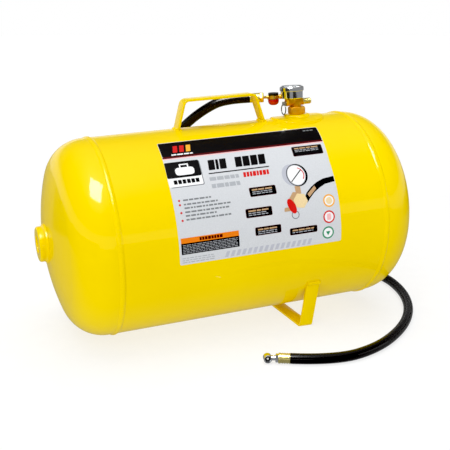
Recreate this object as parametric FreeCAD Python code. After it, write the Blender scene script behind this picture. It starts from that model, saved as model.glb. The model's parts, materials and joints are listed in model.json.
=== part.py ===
import FreeCAD, Part
import math
import os

V = FreeCAD.Vector
X_AXIS = V(1, 0, 0)
Y_AXIS = V(0, 1, 0)
Z_AXIS = V(0, 0, 1)

# All sizes are millimetres. The tank has its own frame: origin at its centre, +X along its
# axis towards the valve end, +Z up out of its port. seat() then stands it on the floor.

# Vessel
tank_radius = 121.5
wall = 2.0
seam_half = 168.0          # tank centre to each girth seam
skirt = 5.0                # straight part of a head
crown_radius = 280.0
knuckle_radius = 48.0
lap_length = 9.0           # lip of a head that slides into the shell
lap_gap = 0.1
bead_width = 7.0
bead_height = 1.5
tilt_deg = 2.9             # the valve end stands higher than the other
seam_weld_angle = 205.0    # where the shell's own seam lies, from the top towards the front

# Port on top, and everything screwed into it
port_x = 105.6
pad_radius = 33.0
pad_thickness = 2.0
boss_radius = 14.0
boss_rise = 4.3
port_radius = 8.0
bushing_flats = 19.5
bushing_height = 9.7
body_height = 19.7         # manifold's cross bore above the shell
body_radius = 4.5
inlet_reach = 8.4          # cross bore's ends, from the port's axis
relief_reach = 11.6
branch_y = 22.5            # the riser stands this far behind the port
outlet_height = 24.9       # hose line above the shell
line_angle = 160.0         # the hose line leaves the riser back and to the left
gauge_radius = 14.3
gauge_thread = 2.4
gauge_height = 15.8
gauge_offset = -6.1
run_gap = 0.05             # running clearance on a radius

# Label, measured round the shell from the top towards the front
label_start = 21.0
label_sweep = 76.0

# Left end port
end_boss_radius = 21.5
end_boss_proud = 9.0
end_bore = 10.5

# Handle and foot, both bent from the same flat bar
bar_width = 19.0
bar_thickness = 3.0
bar_bend = 7.0
handle_x = -1.0
handle_foot_half = 57.0
handle_top_half = 46.5
handle_top = 36.5          # over the shell
foot_x = 74.0
foot_half = 79.0
foot_reach = 96.0
foot_width = 17.0
weld_bead = 2.4

# Relief valve and its ring
relief_thread_length = 2.5
relief_pull = 1.5
relief_chamber = 2.4       # the spring chamber's depth beyond the seating face
ring_mean = 6.6
ring_wire = 0.7

# Shut-off valve, along the hose line from the riser's axis
barrel_end = 12.5
barrel_radius = 3.2
barrel_thread = 2.2
barrel_bore = 1.5
valve_u = 20.4
socket_end = 28.6
socket_radius = 3.0
hex_start = 33.4
hex_end = 38.4
line_end = 51.9
band_radius = 7.4
band_half = 2.2
valve_passage = 1.2
spigot_radius = 1.7
spigot_bore = 1.0
barb_radius = 2.9
cap_flats = 13.0
knob_radius = 7.2

# Hose, and the tyre chuck on its free end
hose_radius = 6.25
ferrule_radius = 6.4
chuck_ferrule_length = 14.0
chuck_nut_length = 3.2
chuck_tube_radius = 3.0
chuck_tube_end = 23.5
chuck_head_u = 26.5
chuck_mouth_turn = 101.0   # the mouth's direction, from the line of the hose
chuck_mouth_radius = 4.02
chuck_lip = 6.2            # along the mouth's axis, from the line of the hose
chuck_ledge = 3.9
chuck_seat = 2.2
chuck_seat_radius = 3.4
chuck_pin_radius = 1.1
chuck_bore = 1.3

# Places that follow from the sizes above
tilt = math.radians(tilt_deg)
shell_top = tank_radius
crown_back = math.sqrt((crown_radius - knuckle_radius) ** 2 - (tank_radius - knuckle_radius) ** 2)
head_depth = skirt + crown_radius - crown_back
pole_x = seam_half + head_depth
bead_round = (bead_width ** 2 / 4 + bead_height ** 2) / (2 * bead_height)
bead_centre = tank_radius + bead_height - bead_round
lift = seam_half * math.sin(tilt) + bead_centre * math.cos(tilt) + bead_round
left_end = (pole_x + end_boss_proud) * math.cos(tilt) + end_boss_radius * math.sin(tilt)
right_end = (pole_x - crown_radius) * math.cos(tilt) + crown_radius
shift = (left_end - right_end) / 2
body_z = shell_top + body_height
outlet_z = shell_top + outlet_height
bushing_z = shell_top + boss_rise
bushing_top = bushing_z + bushing_height
gauge_x = port_x + gauge_offset
gauge_z = body_z + 5.1
inlet_face = port_x + inlet_reach
relief_face = port_x - relief_reach
ring_x = relief_face - 6.3
ring_hook_z = body_z - 1.6


def seat(shape):
    """Tip a shape of the tank's frame by the tilt and stand it on the floor."""
    moved = shape.copy()
    moved.rotate(V(0, 0, 0), Y_AXIS, -tilt_deg)
    moved.translate(V(shift, 0, lift))
    return moved


def seat_point(x, y, z):
    """The same move for one point."""
    return V(
        x * math.cos(tilt) - z * math.sin(tilt) + shift,
        y,
        x * math.sin(tilt) + z * math.cos(tilt) + lift,
    )


def save(name, shape):
    """Write one sub-part and say how large it is."""
    solid = shape.removeSplitter()
    print(f"{name}: {len(solid.Solids)} solid(s), {solid.Volume:.1f} mm3, valid {solid.isValid()}")
    solid.exportStep(f"parts/{name}.step")


def cyl(radius, length, x, y, z, axis=Z_AXIS):
    return Part.makeCylinder(radius, length, V(x, y, z), axis)


def tube(outer, inner, length, x, y, z, axis=Z_AXIS):
    return cyl(outer, length, x, y, z, axis).cut(cyl(inner, length, x, y, z, axis))


def hexagon(flats, length, x, y, z, axis=Z_AXIS, turn=0.0):
    """A hexagonal bar with one pair of flats facing along X, before any turn, on a Z axis."""
    corner = flats / math.sqrt(3)
    points = []
    for i in range(7):
        angle = math.radians(30 + 60 * i + turn)
        points.append(V(corner * math.cos(angle), corner * math.sin(angle), 0))
    bar = Part.Face(Part.makePolygon(points)).extrude(V(0, 0, length))
    bar.Placement = FreeCAD.Placement(V(x, y, z), FreeCAD.Rotation(Z_AXIS, axis))
    return bar


def turned(profile, x, y, z, axis=Z_AXIS):
    """A lathe part: (radius, height) points, closed along its own axis."""
    points = [V(r, 0, h) for r, h in profile]
    points.append(points[0])
    solid = Part.Face(Part.makePolygon(points)).revolve(V(0, 0, 0), Z_AXIS, 360)
    solid.Placement = FreeCAD.Placement(V(x, y, z), FreeCAD.Rotation(Z_AXIS, axis))
    return solid


def nut(flats, length, x, y, z, axis=Z_AXIS, turn=0.0, chamfer=1.0):
    """A hexagon with both ends turned down to a chamfer."""
    corner = flats / math.sqrt(3)
    low = flats / 2 - 0.2
    profile = [
        (0, 0), (low, 0), (corner + 0.1, chamfer), (corner + 0.1, length - chamfer),
        (low, length), (0, length),
    ]
    return hexagon(flats, length, x, y, z, axis, turn).common(turned(profile, x, y, z, axis))


def vessel_solid(radius):
    """Full cylinder of the tank's frame, longer than the shell."""
    return cyl(radius, 2 * seam_half + 40, -seam_half - 20, 0, 0, X_AXIS)


def head_profile(offset):
    """Edges of a dished head's outline from its skirt to its pole, moved inwards by offset."""
    angle = math.atan2(tank_radius - knuckle_radius, crown_back)
    knuckle = knuckle_radius - offset
    crown = crown_radius - offset
    centre = V(skirt, 0, tank_radius - knuckle_radius)
    crown_centre = V(skirt - crown_back, 0, 0)

    def on_knuckle(a):
        return centre + V(knuckle * math.cos(a), 0, knuckle * math.sin(a))

    def on_crown(a):
        return crown_centre + V(crown * math.cos(a), 0, crown * math.sin(a))

    start = V(0, 0, tank_radius - offset)
    top = on_knuckle(math.pi / 2)
    middle = on_knuckle((math.pi / 2 + angle) / 2)
    meet = on_knuckle(angle)
    pole = on_crown(0)
    return [
        Part.LineSegment(start, top).toShape(),
        Part.Arc(top, middle, meet).toShape(),
        Part.Arc(meet, on_crown(angle / 2), pole).toShape(),
    ]


def head(side):
    """A pressed head with the lip that slides into the shell. side is +1 or -1 along X."""
    outer = head_profile(0)
    inner = head_profile(wall)
    poles = Part.makeLine(outer[2].valueAt(outer[2].LastParameter), inner[2].valueAt(inner[2].LastParameter))
    rims = Part.makeLine(V(0, 0, tank_radius), V(0, 0, tank_radius - wall))
    outline = Part.Wire(Part.__sortEdges__(outer + inner + [poles, rims]))
    solid = Part.Face(outline).revolve(V(0, 0, 0), X_AXIS, 360)
    lip_outer = tank_radius - wall - lap_gap
    lip_profile = [
        (lip_outer - wall, -lap_length), (lip_outer, -lap_length), (lip_outer, 0.0),
        (tank_radius - wall, 0.0), (tank_radius - wall, skirt), (lip_outer - wall, skirt),
    ]
    lip = turned(lip_profile, 0, 0, 0, X_AXIS)
    solid = solid.fuse(lip)
    solid.translate(V(seam_half, 0, 0))
    if side < 0:
        solid.rotate(V(0, 0, 0), Z_AXIS, 180)
    return solid


def girth_bead(x):
    """The weld round a seam: a low round ridge."""
    half = bead_width / 2
    left = V(x - half, 0, tank_radius)
    top = V(x, 0, tank_radius + bead_height)
    right = V(x + half, 0, tank_radius)
    edges = [Part.Arc(left, top, right).toShape(), Part.makeLine(right, left)]
    return Part.Face(Part.Wire(edges)).revolve(V(0, 0, 0), X_AXIS, 360)


def shell():
    body = tube(tank_radius, tank_radius - wall, 2 * seam_half, -seam_half, 0, 0, X_AXIS)
    return body.cut(cyl(boss_radius, 40, port_x, 0, shell_top - 20))


def long_seam():
    """The weld bead along the rolled shell, on its hidden side."""
    length = 2 * seam_half - bead_width
    bead = cyl(2.2, length, -length / 2, 0, shell_top - 0.9, X_AXIS)
    bead = bead.cut(vessel_solid(tank_radius))
    bead.rotate(V(0, 0, 0), X_AXIS, seam_weld_angle)
    return bead


def head_envelope():
    """Everything inside the outside of the left head."""
    edges = head_profile(0)
    pole = edges[2].valueAt(edges[2].LastParameter)
    edges.append(Part.makeLine(pole, V(0, 0, 0)))
    edges.append(Part.makeLine(V(0, 0, 0), V(0, 0, tank_radius)))
    solid = Part.Face(Part.Wire(Part.__sortEdges__(edges))).revolve(V(0, 0, 0), X_AXIS, 360)
    solid.translate(V(seam_half, 0, 0))
    solid.rotate(V(0, 0, 0), Z_AXIS, 180)
    return solid


def end_boss():
    boss = turned(
        [
            (end_bore, pole_x - 6), (end_boss_radius, pole_x - 6),
            (end_boss_radius, pole_x + end_boss_proud - 1.5),
            (end_boss_radius - 1.5, pole_x + end_boss_proud), (end_bore, pole_x + end_boss_proud),
        ],
        0, 0, 0, -X_AXIS,
    )
    return boss.cut(head_envelope())


def end_boss_weld():
    ring = turned(
        [
            (end_boss_radius, pole_x - 6), (end_boss_radius + 3.4, pole_x - 6),
            (end_boss_radius + 2.6, pole_x + 0.6), (end_boss_radius, pole_x + 2.4),
        ],
        0, 0, 0, -X_AXIS,
    )
    return ring.cut(head_envelope())


def end_plug():
    """A screwed plug with a hexagon socket, down inside the boss and the head."""
    face = -pole_x - end_boss_proud + 1.2
    plug = cyl(end_bore - run_gap, 13, face, 0, 0, X_AXIS)
    socket = hexagon(9.5, 7, face, 0, 0, X_AXIS)
    return plug.cut(socket)


def left_head():
    return head(-1).cut(cyl(end_bore, 30, -pole_x - 10, 0, 0, X_AXIS))


def port_pad():
    """A round plate that follows the shell and stiffens the port."""
    plate = cyl(pad_radius, 60, port_x, 0, shell_top - 20)
    plate = plate.common(vessel_solid(tank_radius + pad_thickness))
    plate = plate.cut(vessel_solid(tank_radius))
    return plate.cut(cyl(boss_radius, 60, port_x, 0, shell_top - 20))


def port_boss():
    return turned(
        [
            (port_radius, shell_top - 6), (boss_radius, shell_top - 6), (boss_radius, bushing_z - 0.8),
            (boss_radius - 0.8, bushing_z), (port_radius, bushing_z),
        ],
        port_x, 0, 0,
    )


def port_weld():
    ring = turned(
        [
            (boss_radius, shell_top - 3), (boss_radius + 3.4, shell_top - 3),
            (boss_radius + 3.0, shell_top + pad_thickness + 0.2),
            (boss_radius, shell_top + pad_thickness + 1.7),
        ],
        port_x, 0, 0,
    )
    return ring.cut(vessel_solid(tank_radius + pad_thickness))


def pad_weld():
    """The small fillet round the plate."""
    ring = tube(pad_radius + 2.0, pad_radius, 60, port_x, 0, shell_top - 20)
    ring = ring.common(vessel_solid(tank_radius + 1.3))
    return ring.cut(vessel_solid(tank_radius))


def strip(points, width, bend):
    """A flat bar bent along (a, b) points, with thickness centred on them; extruded along +Z."""
    half = bar_thickness / 2
    ways = []
    for start, end in zip(points, points[1:]):
        ways.append((end - start).normalize())
    sides = []
    for offset in (half, -half):
        edges = []
        previous = points[0] + V(-ways[0].y, ways[0].x, 0) * offset
        first = previous
        for i in range(1, len(points) - 1):
            before = ways[i - 1]
            after = ways[i]
            turn = math.atan2(before.x * after.y - before.y * after.x, before.dot(after))
            reach = bend * math.tan(abs(turn) / 2)
            hand = math.copysign(1, turn)
            centre = points[i] - before * reach + V(-before.y, before.x, 0) * (hand * bend)
            radius = bend - hand * offset
            out_from = V(before.y, -before.x, 0) * hand
            out_to = V(after.y, -after.x, 0) * hand
            out_mid = (out_from + out_to).normalize()
            start = centre + out_from * radius
            end = centre + out_to * radius
            edges.append(Part.makeLine(previous, start))
            edges.append(Part.Arc(start, centre + out_mid * radius, end).toShape())
            previous = end
        last = points[-1] + V(-ways[-1].y, ways[-1].x, 0) * offset
        edges.append(Part.makeLine(previous, last))
        sides.append((first, edges, last))
    caps = [Part.makeLine(sides[0][0], sides[1][0]), Part.makeLine(sides[0][2], sides[1][2])]
    outline = Part.Wire(Part.__sortEdges__(sides[0][1] + sides[1][1] + caps))
    bar = Part.Face(outline).extrude(V(0, 0, width))
    bar.translate(V(0, 0, -width / 2))
    return bar


def upright(shape):
    """Turn a bar drawn in (a, b) so that a runs along X and b up, with its width along Y."""
    turned_up = shape.copy()
    turned_up.rotate(V(0, 0, 0), X_AXIS, 90)
    return turned_up


def handle():
    mid_top = shell_top + handle_top - bar_thickness / 2
    slope = (handle_foot_half - handle_top_half) / (mid_top - shell_top)
    root = 8.0
    points = [
        V(handle_x - handle_foot_half - slope * root, shell_top - root, 0),
        V(handle_x - handle_top_half, mid_top, 0),
        V(handle_x + handle_top_half, mid_top, 0),
        V(handle_x + handle_foot_half + slope * root, shell_top - root, 0),
    ]
    return upright(strip(points, bar_width, bar_bend)).cut(vessel_solid(tank_radius))


def handle_welds(grip):
    """A bead along each side of each leg, where it meets the shell."""
    beads = []
    for side in (-1, 1):
        for face in (-1, 1):
            x = handle_x + side * handle_foot_half + face * bar_thickness / 2
            beads.append(cyl(weld_bead, bar_width, x, -bar_width / 2, shell_top, Y_AXIS))
    group = []
    for bead in beads:
        group.append(bead.cut(vessel_solid(tank_radius)).cut(grip))
    return Part.makeCompound([weld.Solids[0] for weld in group])


def foot_place():
    return foot_x * math.cos(tilt) + shift + tank_radius * math.sin(tilt)


def foot():
    """The floor bracket: a flat base with legs that lean out to meet the shell."""
    centre_z = seat_point(foot_x, 0, 0).z
    mid = bar_thickness / 2
    meet_z = centre_z - math.sqrt(tank_radius ** 2 - (foot_reach - mid) ** 2)
    run = V(foot_reach - foot_half, meet_z - mid, 0)
    beyond = V(foot_half, mid, 0) + run * 1.12
    points = [V(-beyond.x, beyond.y, 0), V(-foot_half, mid, 0), V(foot_half, mid, 0), beyond]
    bar = strip(points, foot_width, 5.0)
    bar.rotate(V(0, 0, 0), X_AXIS, 90)
    bar.rotate(V(0, 0, 0), Z_AXIS, 90)
    bar.translate(V(foot_place(), 0, 0))
    return bar.cut(seat(vessel_solid(tank_radius)))


def foot_welds(bracket):
    """A bead across the top of each leg."""
    box = bracket.BoundBox
    beads = []
    for side in (-1, 1):
        tops = [v.Point for v in bracket.Vertexes if v.Point.y * side > 0 and v.Point.z > box.ZMax - 3]
        spot = max(tops, key=lambda p: p.z)
        bead = cyl(weld_bead, foot_width, foot_place() - foot_width / 2, spot.y, spot.z - 1.2, X_AXIS)
        bead = bead.cut(seat(vessel_solid(tank_radius))).cut(bracket)
        beads.append(max(bead.Solids, key=lambda s: s.Volume))
    return Part.makeCompound(beads)


def label():
    """The printed sheet on the front: a thin skin from near the top to below the middle."""
    left = -101.0
    width = 205.0
    thick = 0.15
    corners = [
        V(left, 0, tank_radius), V(left + width, 0, tank_radius),
        V(left + width, 0, tank_radius + thick), V(left, 0, tank_radius + thick),
        V(left, 0, tank_radius),
    ]
    section = Part.Face(Part.makePolygon(corners))
    section.rotate(V(0, 0, 0), X_AXIS, label_start)
    return section.revolve(V(0, 0, 0), X_AXIS, label_sweep)


def port_bushing():
    """The hexagon adaptor that screws into the tank and takes the manifold."""
    solid = nut(bushing_flats, bushing_height, port_x, 0, bushing_z, chamfer=1.8)
    solid = solid.fuse(cyl(port_radius - 0.02, 14, port_x, 0, bushing_z - 14))
    solid = solid.cut(cyl(5.2, 12, port_x, 0, bushing_top - 8))
    return solid.cut(cyl(3.5, 40, port_x, 0, bushing_z - 15))


def on_line(shape):
    """Put a piece drawn along +X at the riser onto the hose line."""
    moved = shape.copy()
    moved.rotate(V(0, 0, 0), Z_AXIS, line_angle)
    moved.translate(V(port_x, branch_y, outlet_z))
    return moved


def manifold():
    """The brass body: column, cross barrel, gauge socket, rear branch, riser and outlet."""
    socket_top = gauge_z - 0.4
    solid = cyl(6.2, body_z - bushing_top, port_x, 0, bushing_top)
    solid = solid.fuse(cyl(5.17, 8, port_x, 0, bushing_top - 8))
    solid = solid.fuse(cyl(body_radius, relief_reach + inlet_reach, relief_face, 0, body_z, X_AXIS))
    solid = solid.fuse(cyl(5.4, socket_top - body_z, gauge_x, 0, body_z))
    solid = solid.fuse(cyl(body_radius, branch_y, port_x, 0, body_z, Y_AXIS))
    solid = solid.fuse(Part.makeSphere(5.6, V(port_x, branch_y, body_z)))
    solid = solid.fuse(cyl(5.6, outlet_z - body_z, port_x, branch_y, body_z))
    solid = solid.fuse(Part.makeSphere(5.6, V(port_x, branch_y, outlet_z)))
    solid = solid.fuse(on_line(cyl(barrel_radius, barrel_end, 0, 0, 0, X_AXIS)))
    bores = [
        cyl(2.5, body_z - bushing_top + 9, port_x, 0, bushing_top - 9),
        cyl(3.42, 7.5, inlet_face - 7.4, 0, body_z, X_AXIS),
        cyl(1.8, 12.0, relief_face + 2, 0, body_z, X_AXIS),
        cyl(3.42, relief_thread_length + 0.15, relief_face - 0.1, 0, body_z, X_AXIS),
        cyl(gauge_thread + 0.02, 2.8, gauge_x, 0, socket_top - 2.7),
        cyl(1.2, 5.0, gauge_x, 0, body_z - 1),
        cyl(2.2, branch_y, port_x, 0, body_z, Y_AXIS),
        cyl(2.2, outlet_z - body_z, port_x, branch_y, body_z),
        on_line(cyl(barrel_bore, barrel_end, 0, 0, 0, X_AXIS)),
        on_line(cyl(barrel_thread + 0.02, 5.1, barrel_end - 5.0, 0, 0, X_AXIS)),
    ]
    for bore in bores:
        solid = solid.cut(bore)
    return solid


def fill_valve_body():
    """The tyre-type inlet: thread outside, stepped bore inside."""
    solid = turned(
        [
            (0, -6.5), (3.4, -6.5), (3.4, 0), (4.6, 0), (4.6, 1.8), (3.85, 2.4), (3.85, 10.8),
            (3.3, 11.5), (0, 11.5),
        ],
        inlet_face, 0, body_z, X_AXIS,
    )
    solid = solid.cut(cyl(2.2, 9.0, inlet_face + 2.6, 0, body_z, X_AXIS))
    return solid.cut(cyl(1.3, 20.0, inlet_face - 7, 0, body_z, X_AXIS))


def fill_core():
    """The fixed barrel of the inlet's valve core."""
    return tube(2.17, 0.7 + run_gap, 6.0, inlet_face + 2.6, 0, body_z, X_AXIS)


def fill_pin():
    """The pin that is pushed in to let air through, with its seal plug behind the core."""
    return turned(
        [(0, -3.6), (0.9, -3.6), (0.9, -1.2), (0.7, -0.9), (0.7, 10.6), (0.45, 10.9), (0, 10.9)],
        inlet_face, 0, body_z, X_AXIS,
    )


def relief_body():
    """The relief valve's hexagon body, with its spring chamber inside."""
    inner_end = relief_face + relief_thread_length
    solid = nut(8.6, 3.4, relief_face, 0, body_z, -X_AXIS, chamfer=0.6)
    solid = solid.fuse(cyl(3.4, relief_thread_length, relief_face, 0, body_z, X_AXIS))
    far_end = relief_face - relief_chamber
    solid = solid.cut(cyl(2.5, inner_end - 0.8 - far_end, far_end, 0, body_z, X_AXIS))
    solid = solid.cut(cyl(1.12 + run_gap, 2.0, relief_face - 4, 0, body_z, X_AXIS))
    return solid.cut(cyl(1.3, 2.0, inner_end - 1, 0, body_z, X_AXIS))


def relief_stem():
    """Poppet, rod and the flat eye that the ring hangs in."""
    rod = turned(
        [(0, -1.6), (2.3, -1.6), (2.3, -0.8), (1.12, -0.8), (1.12, 4.4), (0, 4.4)],
        relief_face, 0, body_z, -X_AXIS,
    )
    eye = Part.makeBox(4.6, 1.6, 5.0, V(relief_face - 8.2, -0.8, body_z - 3.4))
    return rod.fuse(eye).cut(cyl(1.0, 6, ring_x, -3, ring_hook_z, Y_AXIS))


def relief_spring():
    """A coil round the rod. It is short by the stem's pull, so that it never meets the cap."""
    turns = 1.5
    mean = 1.8
    wire_radius = 0.25
    seat_x = relief_face + 0.75
    gap_left = 0.1
    pitch = (seat_x - relief_face + relief_chamber - relief_pull - 2 * wire_radius - gap_left) / turns
    wire = Part.Wire(Part.makeHelix(pitch, pitch * turns, mean).Edges)
    section = Part.Wire(Part.makeCircle(wire_radius, V(mean, 0, 0), Y_AXIS))
    coil = wire.makePipeShell([section], True, True)
    coil.Placement = FreeCAD.Placement(V(seat_x - wire_radius, 0, body_z), FreeCAD.Rotation(Z_AXIS, -X_AXIS))
    return coil


def pull_ring():
    """A plain wire ring, hung plumb through the eye of the relief stem."""
    hook = seat_point(ring_x, 0, ring_hook_z)
    return Part.makeTorus(ring_mean, ring_wire, V(hook.x, 0, hook.z - ring_mean), X_AXIS)


def valve_body():
    """The shut-off valve: a band with two sockets, a neck each way and a cross bore."""
    neck = 8.1
    room = 6.0
    sockets = cyl(barrel_thread + 0.2, valve_u - barrel_end, barrel_end, 0, 0, X_AXIS)
    sockets = sockets.fuse(cyl(socket_radius, socket_end - valve_u, valve_u, 0, 0, X_AXIS))
    sockets = sockets.cut(cyl(cap_flats / math.sqrt(3) + 0.2, room, valve_u, 0, band_half))
    sockets = sockets.cut(cyl(knob_radius + 0.3, room, valve_u, 0, -band_half - room))
    solid = cyl(band_radius, 2 * band_half, valve_u, 0, -band_half).fuse(sockets)
    solid = solid.fuse(cyl(5.0, band_half + 2.4, valve_u, 0, 0))
    solid = solid.fuse(cyl(4.2, neck, valve_u, 0, -neck))
    solid = solid.fuse(cyl(barrel_thread, 6.0, barrel_end - 4.9, 0, 0, X_AXIS))
    bores = [
        cyl(valve_passage, socket_end - barrel_end + 6, barrel_end - 5, 0, 0, X_AXIS),
        cyl(spigot_radius + 0.02, 4.7, socket_end - 4.6, 0, 0, X_AXIS),
        cyl(2.2 + run_gap, 10.8, valve_u, 0, -neck - 0.1),
        cyl(3.2, 2.3, valve_u, 0, -neck - 0.1),
    ]
    for bore in bores:
        solid = solid.cut(bore)
    return solid


def valve_cap():
    """The black hexagon plug over the valve's top neck."""
    cap = nut(cap_flats, 3.3, valve_u, 0, band_half, chamfer=0.8)
    return cap.cut(cyl(5.03, 2.5, valve_u, 0, band_half))


def valve_gland():
    """The screwed ring in the lower neck that keeps the spindle in."""
    return tube(3.17, 1.5 + run_gap, 2.1, valve_u, 0, -8.1)


def valve_spindle():
    """The plunger that shuts the cross bore, on its rod."""
    return turned(
        [
            (0.82, -9.5), (1.5, -9.5), (1.5, -2.7), (2.2, -2.7), (2.2, -1.8), (1.4, -1.8), (1.4, -0.9),
            (2.2, -0.9), (2.2, 1.0), (0.7, 1.0), (0.7, 1.7), (0, 1.7), (0, -6.5), (0.82, -6.5),
        ],
        valve_u, 0, 0,
    )


def spindle_seal():
    """The O-ring in the plunger's groove."""
    return Part.makeTorus(1.81, 0.39, V(valve_u, 0, -1.35), Z_AXIS)


def valve_disc():
    """The soft disc on the plunger's tip, which slides but doesn't turn."""
    disc = cyl(2.15, 1.18, valve_u, 0, 1.02)
    return disc.cut(cyl(0.75, 0.8, valve_u, 0, 1.0))


def valve_knob():
    """The red domed knob that hangs over the lower neck."""
    rim = -band_half - 0.4
    outline = [
        V(5.0, 0, -8.3), V(5.0, 0, rim), V(knob_radius, 0, rim), V(knob_radius, 0, -4.8),
    ]
    inside = [
        V(2.3, 0, -10.7), V(2.3, 0, -9.8), V(1.0, 0, -9.8), V(1.0, 0, -9.5), V(1.5, 0, -9.5),
        V(1.5, 0, -8.3), V(5.0, 0, -8.3),
    ]
    edges = [Part.makeLine(a, b) for a, b in zip(outline, outline[1:])]
    edges.append(Part.Arc(outline[-1], V(5.7, 0, -8.7), inside[0]).toShape())
    edges += [Part.makeLine(a, b) for a, b in zip(inside, inside[1:])]
    knob = Part.Face(Part.Wire(edges)).revolve(V(0, 0, 0), Z_AXIS, 360)
    knob.translate(V(valve_u, 0, 0))
    return knob


def knob_screw():
    screw = cyl(2.1, 0.8, valve_u, 0, -10.6).fuse(cyl(0.8, 3.2, valve_u, 0, -9.8))
    slot = Part.makeBox(3.0, 0.5, 0.4, V(valve_u - 1.5, -0.25, -10.6))
    cross = Part.makeBox(0.5, 3.0, 0.4, V(valve_u - 0.25, -1.5, -10.6))
    return screw.cut(slot).cut(cross)


def crimped(radius, start, end):
    """A ferrule along +X with shallow crimp rings, closed at the hose's side of its bore."""
    profile = [(0, start), (radius - 0.5, start), (radius, start + 0.5)]
    rings = 4
    step = (end - start - 3.0) / rings
    for i in range(rings):
        at = start + 1.5 + step * i
        profile += [
            (radius, at), (radius - 0.45, at + 0.4), (radius - 0.45, at + step * 0.45),
            (radius, at + step * 0.45 + 0.4),
        ]
    profile += [(radius, end - 0.5), (radius - 0.5, end), (0, end)]
    return turned(profile, 0, 0, 0, X_AXIS)


def hose_fitting():
    """Hexagon, spigot into the valve and barb into the ferrule."""
    inner_end = socket_end - 4.5
    barb_end = line_end - 2.2
    solid = nut(12.0, hex_end - hex_start, hex_start, 0, 0, X_AXIS, chamfer=0.9)
    solid = solid.fuse(cyl(spigot_radius, hex_start - inner_end + 1, inner_end, 0, 0, X_AXIS))
    solid = solid.fuse(cyl(barb_radius, barb_end - hex_end, hex_end, 0, 0, X_AXIS))
    return solid.cut(cyl(spigot_bore, line_end - inner_end, inner_end - 0.5, 0, 0, X_AXIS))


def hose_ferrule():
    ferrule = crimped(ferrule_radius, hex_end, line_end)
    return ferrule.cut(cyl(barb_radius + 0.03, line_end - 2.0 - hex_end, hex_end, 0, 0, X_AXIS))


def gauge_case():
    rim = gauge_height - 2.4
    return turned(
        [
            (4.03, 0), (gauge_radius - 1.6, 0), (gauge_radius - 0.3, 1.4), (gauge_radius, rim),
            (gauge_radius - 0.9, rim), (gauge_radius - 1.2, 1.8), (gauge_radius - 1.9, 0.9), (4.03, 0.9),
        ],
        gauge_x, 0, gauge_z,
    )


def gauge_stem():
    """The brass stem: screwed into the manifold, with a collar that holds the case."""
    return turned(
        [
            (1.0, -3.0), (gauge_thread, -3.0), (gauge_thread, -0.38), (4.0, -0.38), (4.0, 0.9), (5.6, 0.9),
            (5.6, 2.2), (0, 2.2), (0, 1.0), (1.0, 1.0),
        ],
        gauge_x, 0, gauge_z,
    )


def bourdon_tube():
    """The curved tube that straightens under pressure, fed from the stem's side."""
    level = gauge_z + 3.6
    loop = Part.makeTorus(10.0, 1.1, V(gauge_x, 0, level), Z_AXIS, -180, 180, 265)
    feed = Part.makeBox(5.8, 1.6, 2.0, V(gauge_x + 4.4, 0.2, gauge_z + 2.2))
    return loop.fuse(feed)


def gauge_movement():
    """Two brass plates on posts that carry the pointer's shaft and the dial."""
    plates = cyl(4.0, 0.5, gauge_x, 0, gauge_z + 5.2)
    plates = plates.fuse(cyl(4.0, 0.5, gauge_x, 0, gauge_z + 8.0))
    for turn in range(3):
        angle = math.radians(90 + 120 * turn)
        x = gauge_x + 3.2 * math.cos(angle)
        plates = plates.fuse(cyl(0.6, 7.4, x, 3.2 * math.sin(angle), gauge_z + 2.2))
    return plates.cut(cyl(0.7 + run_gap, 10, gauge_x, 0, gauge_z + 3))


def gauge_dial():
    dial = cyl(gauge_radius - 1.1, 0.4, gauge_x, 0, gauge_z + 9.6)
    return dial.cut(cyl(0.9, 1.0, gauge_x, 0, gauge_z + 9.5))


def gauge_needle():
    """Pointer, hub and shaft, resting at the bottom left of the dial."""
    tip = 10.6
    tail = 4.2
    corners = [V(-tail, -0.8, 0), V(-tail, 0.8, 0), V(tip, 0.2, 0), V(tip, -0.2, 0), V(-tail, -0.8, 0)]
    blade = Part.Face(Part.makePolygon(corners)).extrude(V(0, 0, 0.3))
    blade.rotate(V(0, 0, 0), Z_AXIS, 225)
    blade.translate(V(gauge_x, 0, gauge_z + 10.9))
    shaft = cyl(0.7, 7.0, gauge_x, 0, gauge_z + 4.6)
    return blade.fuse(shaft).fuse(cyl(1.6, 0.9, gauge_x, 0, gauge_z + 10.7))


def gauge_lens():
    return cyl(gauge_radius - 0.2, 1.2, gauge_x, 0, gauge_z + gauge_height - 2.4)


def gauge_bezel():
    """The ring rolled over the case, with its lip on the lens."""
    outer = gauge_radius + 1.1
    lip = gauge_height - 1.2
    return turned(
        [
            (gauge_radius + 0.05, lip - 4.6), (outer - 0.2, lip - 4.6), (outer, lip - 4.2), (outer, lip),
            (outer - 0.9, gauge_height), (gauge_radius - 0.9, gauge_height), (gauge_radius - 1.7, lip + 0.3),
            (gauge_radius - 1.7, lip), (gauge_radius + 0.05, lip),
        ],
        gauge_x, 0, gauge_z,
    )


def line_start():
    """The hose's first point: the end of the ferrule on the manifold's line."""
    angle = math.radians(line_angle)
    return seat_point(port_x + line_end * math.cos(angle), branch_y + line_end * math.sin(angle), outlet_z)


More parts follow.
